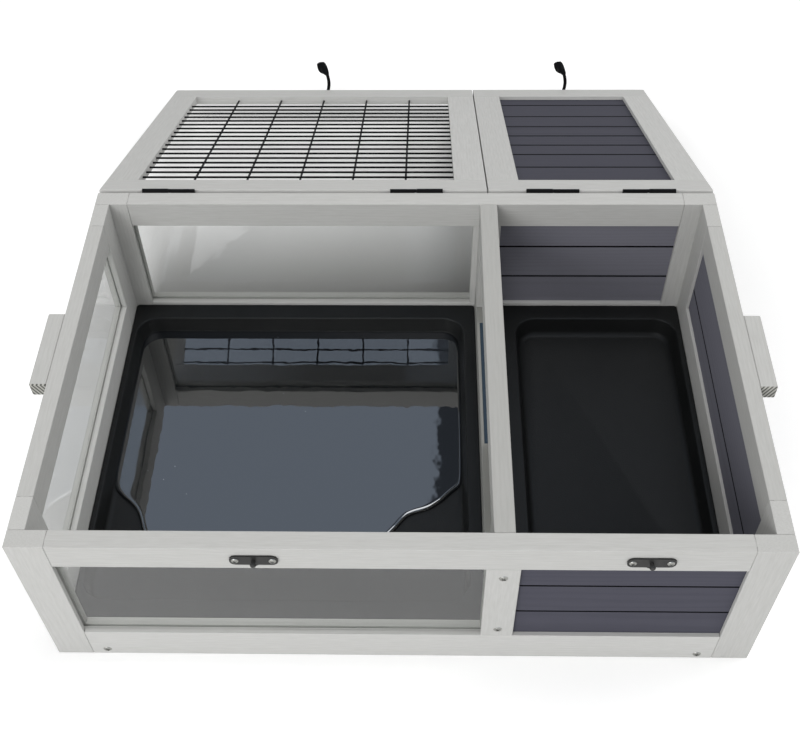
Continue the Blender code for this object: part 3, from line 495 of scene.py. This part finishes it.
def grained_abs():
    """Vacuum-formed black ABS: a fine leather grain breaks its dull shine."""
    # The real grain's cells are about 1 mm; they are drawn 1.6 mm wide, so that they show.
    grain_cell = 1.6 * MM
    cloud_size = 71.429 * MM
    material, tree, shader = new_finish("vacuum_formed_black_abs")
    place = add(tree, "ShaderNodeTexCoord")
    cells = add(tree, "ShaderNodeTexVoronoi", {"Vector": place.outputs["Object"], "Scale": 1 / grain_cell},
                feature="F1")
    cloud = add(tree, "ShaderNodeTexNoise",
                {"Vector": place.outputs["Object"], "Scale": 1 / cloud_size, "Detail": 4.0})
    colour = add(tree, "ShaderNodeMix", {0: cloud.outputs["Fac"], 6: srgb("#121313"), 7: srgb("#1D1E1E")},
                 data_type="RGBA")
    tree.links.new(colour.outputs[2], shader.inputs["Base Color"])
    dull = add(tree, "ShaderNodeMapRange", {"Value": cloud.outputs["Fac"], "To Min": 0.36, "To Max": 0.5})
    tree.links.new(dull.outputs[0], shader.inputs["Roughness"])
    shader.inputs["Specular IOR Level"].default_value = 0.2
    grain = add(tree, "ShaderNodeBump", {"Height": cells.outputs["Distance"], "Strength": 0.6,
                                         "Distance": 0.25 * MM})
    tree.links.new(grain.outputs[0], shader.inputs["Normal"])
    return material


abs_sheet = grained_abs()
for node in ("left_tray", "right_tray"):
    nodes[node].material_slots[0].material = abs_sheet
    rounded(node)


# Water. A puddle 5 mm deep lies in the wide room's tray, held in by its walls at the back and
# sides, and ends in a curled edge across the floor at the front.
tray_floor = 23.8 * MM
# The puddle's outline, in mm: its shore from left to right, then along the tray's walls.
shore = [(-426, 256), (-421, 234), (-408, 219), (-395, 209), (-384, 198), (-376, 183), (-371, 168),
         (-363, 150), (-345, 136), (-300, 127), (-240, 124), (-170, 127), (-110, 130), (-60, 134), (-25, 148),
         (-7, 169), (0, 179), (7, 187), (12, 190), (19, 193), (29, 196), (39, 200), (49, 207), (58, 214),
         (66, 223), (74, 231), (81, 237), (87, 246)]
walled = [(88, 300), (88, 400), (88, 480), (87, 507), (81, 527), (66, 538), (40, 539), (-100, 539),
          (-250, 539), (-380, 539), (-406, 537), (-420, 526), (-426, 500), (-426, 400), (-426, 300)]


def smoothed(points, rounds=3):
    """A closed outline with its corners cut, round by round, a quarter of the way along each side."""
    for _ in range(rounds):
        cut = []
        for (x0, y0), (x1, y1) in zip(points, points[1:] + points[:1]):
            cut.append((0.75 * x0 + 0.25 * x1, 0.75 * y0 + 0.25 * y1))
            cut.append((0.25 * x0 + 0.75 * x1, 0.25 * y0 + 0.75 * y1))
        points = cut
    return points


outline = smoothed(shore + walled)


def inset(points, by):
    """The outline moved inwards (it runs anticlockwise)."""
    moved = []
    for index, (x, y) in enumerate(points):
        before, after = points[index - 1], points[(index + 1) % len(points)]
        run = Vector((after[0] - before[0], after[1] - before[1])).normalized()
        moved.append((x - run.y * by, y + run.x * by))
    return moved


water_mesh = bpy.data.meshes.new("shallow_water")
work = bmesh.new()
# The curled edge: (inset mm, height above the tray's floor mm), from the underside round to the top.
curl = ((5.0, 0.02), (0.5, 0.02), (0.0, 0.8), (0.3, 2.0), (1.1, 3.3), (2.4, 4.3), (4.2, 4.85), (6.5, 5.0),
        (8.5, 5.0))
rings = [[work.verts.new((x * MM, y * MM, tray_floor + height * MM)) for x, y in inset(outline, step)]
         for step, height in curl]
for lower, upper in zip(rings, rings[1:]):
    for index in range(len(lower)):
        after = (index + 1) % len(lower)
        work.faces.new((lower[index], lower[after], upper[after], upper[index]))
work.faces.new(rings[-1])
work.faces.new(list(reversed(rings[0])))
bmesh.ops.recalc_face_normals(work, faces=work.faces)
work.to_mesh(water_mesh)
work.free()
water_mesh.shade_smooth()
water_mesh.set_sharp_from_angle(angle=radians(50))
shallow_water = put("shallow_water", water_mesh)

# Still water over black plastic: a dark mirror with a faint ripple and a few pale specks of
# dust. Its IOR is above water's 1.33, so that it mirrors as strongly as in the photo.
speck_spacing = 14.286 * MM
drift_size = 142.86 * MM
ripple_length = 38.462 * MM
still_water, tree, shader = new_finish("still_water_on_black")
shader.inputs["Roughness"].default_value = 0.02
shader.inputs["IOR"].default_value = 2.4
place = add(tree, "ShaderNodeTexCoord")
grit = add(tree, "ShaderNodeTexVoronoi", {"Vector": place.outputs["Object"], "Scale": 1 / speck_spacing},
           feature="F1")
drift = add(tree, "ShaderNodeTexNoise", {"Vector": place.outputs["Object"], "Scale": 1 / drift_size})
speck_size = add(tree, "ShaderNodeMapRange",
                 {"Value": drift.outputs["Fac"], "From Min": 0.5, "From Max": 0.7, "To Min": 0.0,
                  "To Max": 0.05})
speck = add(tree, "ShaderNodeMath", {0: grit.outputs["Distance"], 1: speck_size.outputs[0]},
            operation="LESS_THAN")
depth = add(tree, "ShaderNodeMix", {0: speck.outputs[0], 6: srgb("#0B0D10"), 7: srgb("#9AA0A4")},
            data_type="RGBA")
tree.links.new(depth.outputs[2], shader.inputs["Base Color"])
swell = add(tree, "ShaderNodeTexNoise",
            {"Vector": place.outputs["Object"], "Scale": 1 / ripple_length, "Detail": 2.0, "Roughness": 0.5})
ripple = add(tree, "ShaderNodeBump", {"Height": swell.outputs["Fac"], "Strength": 0.4, "Distance": 0.4 * MM})
tree.links.new(ripple.outputs[0], shader.inputs["Normal"])
water_mesh.materials.append(still_water)
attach(shallow_water, "left_tray")


# Lids. Each is a flat frame of washed pine, its stiles tenoned into full-width rails. They
# are thrown open behind the box. The narrow lid is filled with painted boards.
lid_swing = radians(203.0785)
lid_hinge = next(joint for joint in frame["joints"] if joint["name"] == "left_lid_hinge")
hinge_y, hinge_z = lid_hinge["pos_m"][1:]
closed = Euler((lid_swing, 0.0, 0.0))
lid_rail = (lid_swing, 0.0, 0.0)
lid_stile = (lid_swing, 0.0, -pi / 2)
for side in ("left", "right"):
    for member, wash_tone_and_shade in (("hinge_rail", 0.04), ("front_rail", 0.08)):
        whitewash(f"{side}_lid_{member}", lid_rail, wash_tone_and_shade)
    for member, wash_tone_and_shade in (("left_stile", 0.05), ("right_stile", 0.0)):
        whitewash(f"{side}_lid_{member}", lid_stile, wash_tone_and_shade)


def opened(x, y, z):
    """Where a point of the closed lid is, in metres, once the lid is thrown open."""
    turned = Euler((-lid_swing, 0.0, 0.0)).to_matrix() @ Vector((0.0, y - hinge_y, z - hinge_z))
    return Vector((x, hinge_y + turned.y, hinge_z + turned.z))


# The mapping turns about the origin, so a seam's place is measured along the closed lid from there.
closed_origin = (closed.to_matrix() @ Vector((0.0, hinge_y, hinge_z))).y
seam_rows = (460.5, 393, 339.5, 284.5, 226.5, 159.5, 80)
lid_seams = [y * MM - hinge_y + closed_origin for y in seam_rows]
slate_paint("right_lid_boards", lid_rail, "Y", lid_seams, seam_shade_half=2.7 * MM, pale="#4D4D56", deep="#474750")


# Wire mesh in the wide lid. Steel wires, 3.3 mm thick with their coat, are welded 25 mm apart
# across five cross wires and powder-coated black. The edges sit in a groove round the frame.
def close_tree(tree, made, material):
    """Ends a tree: instances made real, and the material set."""
    real = add(tree, "GeometryNodeRealizeInstances", {0: made})
    painted = add(tree, "GeometryNodeSetMaterial", {0: real.outputs[0], "Material": material})
    add(tree, "NodeGroupOutput", {0: painted.outputs[0]})


def grown_piece(name, mesh, tree, sockets, sizes, body):
    """Runs a tree on a mesh and keeps the result as a plain piece that rides on a body."""
    seed = put(name + "_seed", mesh)
    step = seed.modifiers.new("tree", "NODES")
    step.node_group = tree
    for label, value in sizes.items():
        step[sockets[label].identifier] = value
    bpy.context.view_layer.update()
    grown = bpy.data.meshes.new_from_object(seed.evaluated_get(bpy.context.evaluated_depsgraph_get()))
    seed.modifiers.remove(step)
    bpy.data.objects.remove(seed, do_unlink=True)
    grown.name = name
    piece = put(name, grown)
    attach(piece, body)
    return piece


def powder_coat(name, colour, worn_and_sheen, roughness, gloss):
    """Black powder coat, or lacquer, on steel: even, half dull, with the coat's faint orange peel."""
    peel_dimple = 1.2 * MM
    wear_and_sheen_patch = 11.111 * MM
    material, tree, shader = new_finish(name)
    place = add(tree, "ShaderNodeTexCoord")
    peel = add(tree, "ShaderNodeTexNoise",
               {"Vector": place.outputs["Object"], "Scale": 1 / peel_dimple, "Detail": 2.0})
    wear_and_sheen = add(tree, "ShaderNodeTexNoise",
               {"Vector": place.outputs["Object"], "Scale": 1 / wear_and_sheen_patch, "Detail": 3.0})
    base = add(tree, "ShaderNodeMix", {0: wear_and_sheen.outputs["Fac"], 6: srgb(colour), 7: srgb(worn_and_sheen)},
               data_type="RGBA")
    tree.links.new(base.outputs[2], shader.inputs["Base Color"])
    dull = add(tree, "ShaderNodeMapRange", {"Value": wear_and_sheen.outputs["Fac"], "To Min": roughness - 0.08,
                                            "To Max": roughness + 0.1})
    tree.links.new(dull.outputs[0], shader.inputs["Roughness"])
    shader.inputs["Specular IOR Level"].default_value = gloss
    relief = add(tree, "ShaderNodeBump", {"Height": peel.outputs["Fac"], "Strength": 0.25,
                                          "Distance": 0.12 * MM})
    tree.links.new(relief.outputs[0], shader.inputs["Normal"])
    return material


wire_coat = powder_coat("black_powder_coated_wire", "#070708", "#131414", roughness=0.55, gloss=0.1)
wire_sizes = {"Width": 498.9 * MM, "Height": 521.4 * MM, "Wire Count": 19, "Wire Pitch": 25 * MM,
              "First Wire": 89.5 * MM, "Cross Count": 5, "Cross Pitch": 82 * MM,
              "First Cross Wire": -327.5 * MM, "Wire Radius": 1.65 * MM, "Weld Lift": 2.5 * MM,
              "Middle": (-167.25 * MM, 293 * MM, 279.55 * MM)}
tree, given, wire_sockets = named_tree("welded_wire_mesh", wire_sizes)
lay = given.outputs


def wires(count, pitch, start, length_socket, across, lift):
    """Parallel round wires: across is the axis of the wire, and they step along the other axis."""
    half = add(tree, "ShaderNodeMath", {0: length_socket, 1: 0.5}, operation="MULTIPLY")
    less = add(tree, "ShaderNodeMath", {0: half.outputs[0], 1: -1.0}, operation="MULTIPLY")
    ends = [add(tree, "ShaderNodeCombineXYZ", {across: end.outputs[0]}) for end in (less, half)]
    line = add(tree, "GeometryNodeCurvePrimitiveLine",
               {"Start": ends[0].outputs[0], "End": ends[1].outputs[0]})
    profile = add(tree, "GeometryNodeCurvePrimitiveCircle", {"Resolution": 12, "Radius": lay["Wire Radius"]})
    wire = add(tree, "GeometryNodeCurveToMesh",
               {"Curve": line.outputs[0], "Profile Curve": profile.outputs[0], "Fill Caps": True})
    other = "Y" if across == "X" else "X"
    step = add(tree, "ShaderNodeCombineXYZ", {other: pitch})
    origin = add(tree, "ShaderNodeCombineXYZ", {other: start, "Z": lift})
    points = add(tree, "GeometryNodeMeshLine",
                 {"Count": count, "Start Location": origin.outputs[0], "Offset": step.outputs[0]},
                 mode="OFFSET")
    return add(tree, "GeometryNodeInstanceOnPoints",
               {"Points": points.outputs[0], "Instance": wire.outputs[0]})


# The sheet is laid about its own middle, lifted into the closed lid, and swung open with it.
centre = add(tree, "ShaderNodeSeparateXYZ", {0: lay["Middle"]})
first = add(tree, "ShaderNodeMath", {0: lay["First Wire"], 1: centre.outputs["Y"]}, operation="SUBTRACT")
long_wires = wires(lay["Wire Count"], lay["Wire Pitch"], first.outputs[0], lay["Width"], "X", 0.0)
first = add(tree, "ShaderNodeMath", {0: lay["First Cross Wire"], 1: centre.outputs["X"]},
            operation="SUBTRACT")
cross_wires = wires(lay["Cross Count"], lay["Cross Pitch"], first.outputs[0], lay["Height"], "Y",
                    lay["Weld Lift"])
joined = add(tree, "GeometryNodeJoinGeometry")
for part in (long_wires, cross_wires):
    tree.links.new(part.outputs[0], joined.inputs[0])
placed = add(tree, "GeometryNodeTransform", {"Geometry": joined.outputs[0], "Translation": lay["Middle"]})
level = add(tree, "GeometryNodeTransform",
            {"Geometry": placed.outputs[0], "Translation": (0.0, -hinge_y, -hinge_z)})
swung = add(tree, "GeometryNodeTransform",
            {"Geometry": level.outputs[0], "Rotation": (-lid_swing, 0.0, 0.0),
             "Translation": (0.0, hinge_y, hinge_z)})
real = add(tree, "GeometryNodeRealizeInstances", {0: swung.outputs[0]})
close_tree(tree, round_shading(tree, real.outputs[0], crease=radians(50)), wire_coat)
grille = grown_piece("left_lid_grille", bpy.data.meshes.new("grille_seed"), tree, wire_sockets, wire_sizes,
                     "left_lid")
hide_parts("left_lid_wire_mesh")


# Groove spline. A thin strip of washed pine is glued into the groove's mouth, all round the
# opening, over the ends of the wires. Its places are those on the closed lid.
spline_inner = 0.3 * MM
spline_outer = 4.8 * MM
spline_rise = (277.9 * MM, 283.7 * MM)
opening_low = (-409.0 * MM, 40.0 * MM)
opening_high = (74.5 * MM, 546.0 * MM)
spline_mesh = bpy.data.meshes.new("groove_spline")
work = bmesh.new()
loops = []
for out, height in ((spline_inner, spline_rise[0]), (spline_inner, spline_rise[1]),
                    (spline_outer, spline_rise[1]), (spline_outer, spline_rise[0])):
    west, south = opening_low[0] - out, opening_low[1] - out
    east, north = opening_high[0] + out, opening_high[1] + out
    loops.append([work.verts.new(opened(x, y, height))
                  for x, y in ((west, south), (east, south), (east, north), (west, north))])
for lower, upper in zip(loops, loops[1:] + loops[:1]):
    for index in range(4):
        after = (index + 1) % 4
        work.faces.new((lower[index], lower[after], upper[after], upper[index]))
bmesh.ops.recalc_face_normals(work, faces=work.faces)
work.to_mesh(spline_mesh)
work.free()
groove_spline = put("groove_spline", spline_mesh)
spline_mesh.materials.append(nodes["left_lid_front_rail"].material_slots[0].material)
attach(groove_spline, "left_lid")


# Hinges, catches, hook plates and hooks. Pressed and turned steel, lacquered black. The
# hooks swing on rivets on the lids' front edges and drop over the studs on the front.
lacquer = powder_coat("black_lacquered_steel", "#060607", "#101011", roughness=0.36, gloss=0.07)
# The catches' lacquer is greyer, with paler grey patches, as a painted sheen for their highlights.
sheen_grey_lacquer = powder_coat("black_lacquered_steel_sheen_grey", "#1E1E1E", "#3A3A39", roughness=0.4,
                           gloss=0.2)
hardware = [row["node"] for row in frame["record"]["subparts"] if row["material_slot"] == "black_hardware"]
for node in hardware:
    nodes[node].material_slots[0].material = sheen_grey_lacquer if node.endswith("catch") else lacquer
    rounded(node)


# Screws. Zinc-plated steel cross-head screws: pan heads hold the hardware, and larger ones
# are driven through the end walls into the bearers and the divider.
# The plating is bright metal, with darker and duller patches where it has tarnished.
tarnish_patch = 2.5 * MM
zinc, tree, shader = new_finish("zinc_plated_steel")
shader.inputs["Metallic"].default_value = 1.0
place = add(tree, "ShaderNodeTexCoord")
tarnish = add(tree, "ShaderNodeTexNoise",
              {"Vector": place.outputs["Object"], "Scale": 1 / tarnish_patch, "Detail": 3.0})
plate = add(tree, "ShaderNodeMix", {0: tarnish.outputs["Fac"], 6: srgb("#C4C4C0"), 7: srgb("#7E7E79")},
            data_type="RGBA")
tree.links.new(plate.outputs[2], shader.inputs["Base Color"])
dull = add(tree, "ShaderNodeMapRange", {"Value": tarnish.outputs["Fac"], "To Min": 0.2, "To Max": 0.45})
tree.links.new(dull.outputs[0], shader.inputs["Roughness"])

screw_sizes = {"Head Radius": 3.6 * MM, "Head Height": 1.5 * MM, "Recess Length": 4.2 * MM,
               "Recess Width": 1.0 * MM, "Recess Depth": 1.0 * MM}
tree, given, screw_sockets = named_tree("cross_head_screws", screw_sizes)
lay = given.outputs
ball = add(tree, "GeometryNodeMeshUVSphere", {"Segments": 28, "Rings": 14, "Radius": 1.0})
squat = add(tree, "ShaderNodeCombineXYZ",
            {"X": lay["Head Radius"], "Y": lay["Head Radius"], "Z": lay["Head Height"]})
dome = add(tree, "GeometryNodeTransform", {"Geometry": ball.outputs[0], "Scale": squat.outputs[0]})
deep = add(tree, "ShaderNodeMath", {0: lay["Recess Depth"], 1: 2.0}, operation="MULTIPLY")
top = add(tree, "ShaderNodeCombineXYZ", {"Z": lay["Head Height"]})
slots = []
for along, across in (("X", "Y"), ("Y", "X")):
    span = add(tree, "ShaderNodeCombineXYZ",
               {along: lay["Recess Length"], across: lay["Recess Width"], "Z": deep.outputs[0]})
    block = add(tree, "GeometryNodeMeshCube", {"Size": span.outputs[0]})
    slots.append(add(tree, "GeometryNodeTransform",
                     {"Geometry": block.outputs[0], "Translation": top.outputs[0]}))
cross = add(tree, "GeometryNodeMeshBoolean", operation="UNION", solver="EXACT")
head = add(tree, "GeometryNodeMeshBoolean", {"Mesh 1": dome.outputs[0]}, operation="DIFFERENCE",
           solver="EXACT")
for block in slots:
    tree.links.new(block.outputs[0], cross.inputs["Mesh 2"])
tree.links.new(cross.outputs[0], head.inputs["Mesh 2"])
facing = add(tree, "GeometryNodeInputNamedAttribute", {"Name": "facing"}, data_type="FLOAT_VECTOR")
turn = add(tree, "GeometryNodeInputNamedAttribute", {"Name": "turn"}, data_type="FLOAT")
stood = add(tree, "FunctionNodeAlignRotationToVector", {"Vector": facing.outputs[0]}, axis="Z")
spin = add(tree, "ShaderNodeCombineXYZ", {"Z": turn.outputs[0]})
driven = add(tree, "FunctionNodeRotateRotation", {"Rotation": stood.outputs[0], "Rotate By": spin.outputs[0]},
             rotation_space="LOCAL")
set_in = add(tree, "GeometryNodeInstanceOnPoints",
             {"Points": given.outputs["Geometry"], "Instance": head.outputs[0],
              "Rotation": driven.outputs[0]})
real = add(tree, "GeometryNodeRealizeInstances", {0: set_in.outputs[0]})
close_tree(tree, round_shading(tree, real.outputs[0], crease=radians(35)), zinc)


def screws(name, places, sizes, body):
    """Screws at places, each a point and the way that its head faces; every slot is turned a little."""
    first_turn = 0.4
    next_turn = 1.1
    mesh = bpy.data.meshes.new(name + "_places")
    mesh.from_pydata([point for point, _ in places], [], [])
    mesh.attributes.new("facing", "FLOAT_VECTOR", "POINT")
    mesh.attributes.new("turn", "FLOAT", "POINT")
    for index, (_, way) in enumerate(places):
        mesh.attributes["facing"].data[index].vector = way
        mesh.attributes["turn"].data[index].value = first_turn + next_turn * index
    return grown_piece(name, mesh, tree, screw_sockets, {**screw_sizes, **sizes}, body)


def middle(node):
    """The middle of a CAD node's box."""
    low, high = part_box(node)
    return (low + high) / 2


# How far the plates and the hinge leaves stand proud of the wood.
plate_proud = 2.3 * MM
leaf_proud = 1.5 * MM
front_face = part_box("front_bottom_rail")[0].y
rear_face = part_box("rear_bottom_rail")[1].y
plate_front = front_face - plate_proud
leaf_rear = rear_face + leaf_proud
to_front = Vector((0, -1, 0))
to_rear = Vector((0, 1, 0))

# Screws through the end walls, each set by its place across and up, in mm.
wood_screws = {"Head Radius": 5.5 * MM, "Head Height": 1.6 * MM, "Recess Length": 6.4 * MM,
               "Recess Width": 1.8 * MM, "Recess Depth": 1.4 * MM}
front_places = ((-389, 12.6), (389, 11.0), (124.3, 208.0), (124.3, 77.4))
rear_places = ((-389, 12.0), (389, 12.0), (123.5, 208.0), (123.5, 78.0))
wall_places = [(Vector((x * MM, front_face, z * MM)), to_front) for x, z in front_places]
wall_places += [(Vector((x * MM, rear_face, z * MM)), to_rear) for x, z in rear_places]
screws("wall_screws", wall_places, wood_screws, "cabinet")

# Two screws hold each catch plate and each hinge leaf on the box, on both sides of its middle.
catch_screws = {"Head Radius": 4.5 * MM, "Head Height": 1.9 * MM, "Recess Length": 5.0 * MM,
                "Recess Width": 1.6 * MM, "Recess Depth": 1.3 * MM}
leaf_screws = {"Head Radius": 2.9 * MM, "Head Height": 1.1 * MM, "Recess Length": 3.6 * MM,
               "Recess Width": 0.9 * MM, "Recess Depth": 0.8 * MM}
catch_screw_step = 22 * MM
catch_screw_height = 250 * MM
leaf_screw_step = 11 * MM
leaf_screw_height = 253.2 * MM
plate_places = []
leaf_places = []
for side in ("left", "right"):
    catch_x = middle(side + "_catch").x
    for step in (-catch_screw_step, catch_screw_step):
        plate_places.append((Vector((catch_x + step, plate_front, catch_screw_height)), to_front))
    for end in ("left", "right"):
        leaf_x = middle(f"{side}_hinge_{end}_box_leaf").x
        for step in (-leaf_screw_step, leaf_screw_step):
            leaf_places.append((Vector((leaf_x + step, leaf_rear, leaf_screw_height)), to_rear))
screws("catch_screws", plate_places, catch_screws, "cabinet")
screws("box_leaf_screws", leaf_places, leaf_screws, "cabinet")

# On each lid, two screws hold the hook's plate and one holds each hinge leaf. Their heights are
# on the closed lid.
hook_screw_step = 14 * MM
hook_screw_height = 280.8 * MM
lid_leaf_screw_height = 278.7 * MM
lid_front = (opened(0, -1, 0) - opened(0, 0, 0)).normalized()
for side in ("left", "right"):
    places = []
    plate_x = middle(side + "_hook_plate").x
    for step in (-hook_screw_step, hook_screw_step):
        places.append((opened(plate_x + step, plate_front, hook_screw_height), lid_front))
    for end in ("left", "right"):
        leaf_x = middle(f"{side}_hinge_{end}_lid_leaf").x
        places.append((opened(leaf_x, leaf_rear, lid_leaf_screw_height), -lid_front))
    screws(side + "_lid_screws", places, leaf_screws, side + "_lid")
